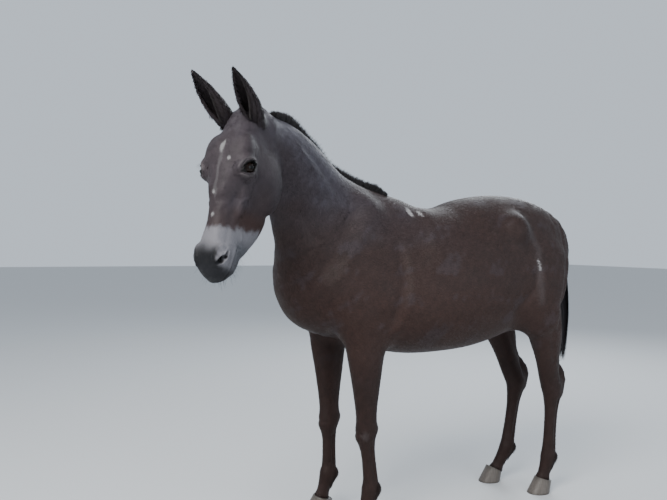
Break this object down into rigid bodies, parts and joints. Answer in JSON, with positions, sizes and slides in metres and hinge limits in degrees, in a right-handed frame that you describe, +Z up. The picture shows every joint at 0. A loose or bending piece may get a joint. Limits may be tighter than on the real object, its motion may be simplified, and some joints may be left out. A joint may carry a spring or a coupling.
{
  "type": "mule",
  "caption": "Life-size standing mule in a short chestnut coat, with a clipped mane and a pale muzzle, its head turned to its left.",
  "frame": {"origin": "on the floor, under the middle of the bounding box", "axes": "+X out of the chest, the way the body faces; +Y to the mule's left; +Z up"},
  "size_m": [2.0071, 0.7669, 1.7571],
  "materials": {
    "coat": "short close chestnut coat with a soft sheen, cooler on the back, darker on the legs",
    "ear": "blackish brown short coat, paler hair inside the cup",
    "hoof": "dry grey horn with fine rings",
    "eye": "wet dark brown",
    "tail_hair": "dark grey-brown coarse hair"
  },
  "bodies": {
    "root": {"torso": "coat", "neck": "coat", "head": "coat", "ear_left": "ear", "ear_right": "ear", "foreleg_left": "coat", "foreleg_right": "coat", "hindleg_left": "coat", "hindleg_right": "coat", "hoof_fore_left": "hoof", "hoof_fore_right": "hoof", "hoof_hind_left": "hoof", "hoof_hind_right": "hoof", "eye_left": "eye", "eye_right": "eye", "tail": "tail_hair"}
  },
  "joints": []
}
